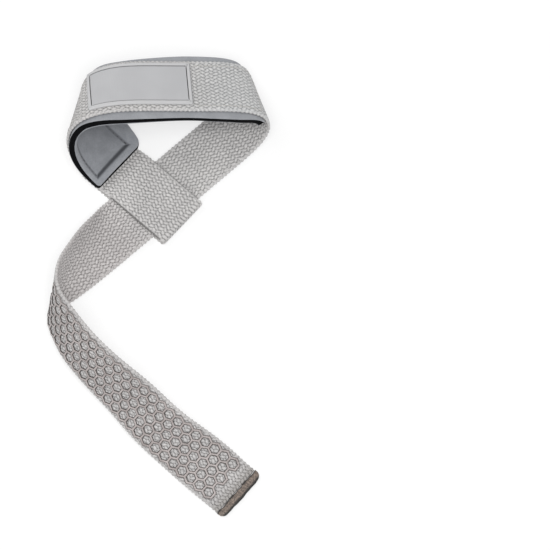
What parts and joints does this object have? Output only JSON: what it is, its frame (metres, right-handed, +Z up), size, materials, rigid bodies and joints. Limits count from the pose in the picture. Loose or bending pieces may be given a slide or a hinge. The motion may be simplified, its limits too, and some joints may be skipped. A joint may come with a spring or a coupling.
{
  "type": "padded lifting strap",
  "caption": "Woven lifting strap threaded through its own sewn keeper into a wrist loop, with a foam pad inside, a bare label patch, a honeycomb grip and a sealed tail end.",
  "frame": {"origin": "under the middle of the strap's box, on the floor it lies on", "axes": "+Z up from the floor; +Y from the tail's end toward the wrist loop, along the strap's longest extent; +X to the right as the picture shows it"},
  "size_m": [0.145, 0.3044, 0.0494],
  "materials": {
    "webbing": "coarse light grey cotton weave",
    "pad": "mid grey brushed cloth with a black foam edge",
    "label_patch": "matt moulded rubber",
    "grip": "satin translucent silicone",
    "end_tip": "satin dipped resin"
  },
  "bodies": {
    "root": {"webbing": "webbing", "pad": "pad", "label_patch": "label_patch", "grip": "grip", "end_tip": "end_tip"}
  },
  "joints": []
}
